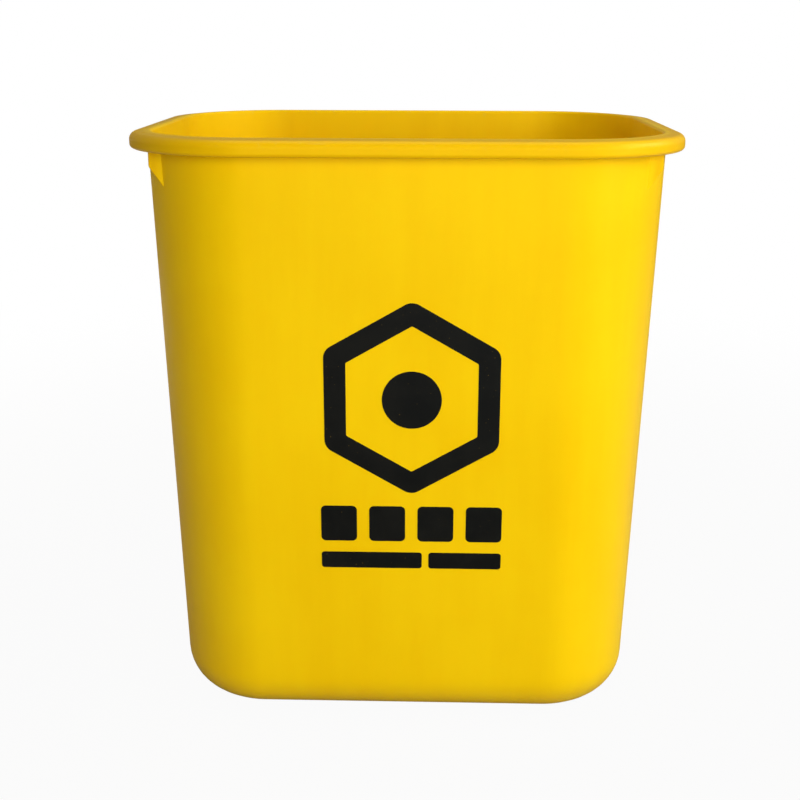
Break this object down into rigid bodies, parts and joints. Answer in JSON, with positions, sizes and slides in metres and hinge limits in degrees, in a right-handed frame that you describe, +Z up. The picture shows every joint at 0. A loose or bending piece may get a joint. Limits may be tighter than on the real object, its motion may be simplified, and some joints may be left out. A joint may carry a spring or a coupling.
{
  "type": "open-top waste bin",
  "caption": "Open-top rectangular waste bin: one thin moulded tub with drafted walls, rounded corners, a turned-out rim and a plain black print on its front wall.",
  "frame": {"origin": "middle of the footprint, on the plane that the foot ring stands on", "axes": "+Z up towards the open mouth, -Y out of the printed front wall, +X to the right seen from the front"},
  "size_m": [0.281, 0.224, 0.31],
  "materials": {
    "moulded_plastic": "smooth semi-gloss moulded polypropylene, warm yellow",
    "print_ink": "flat black screen-print ink"
  },
  "bodies": {
    "root": {"bin_body": "moulded_plastic", "print_frame": "print_ink", "print_dot": "print_ink", "print_blocks": "print_ink", "print_bars": "print_ink"}
  },
  "joints": []
}
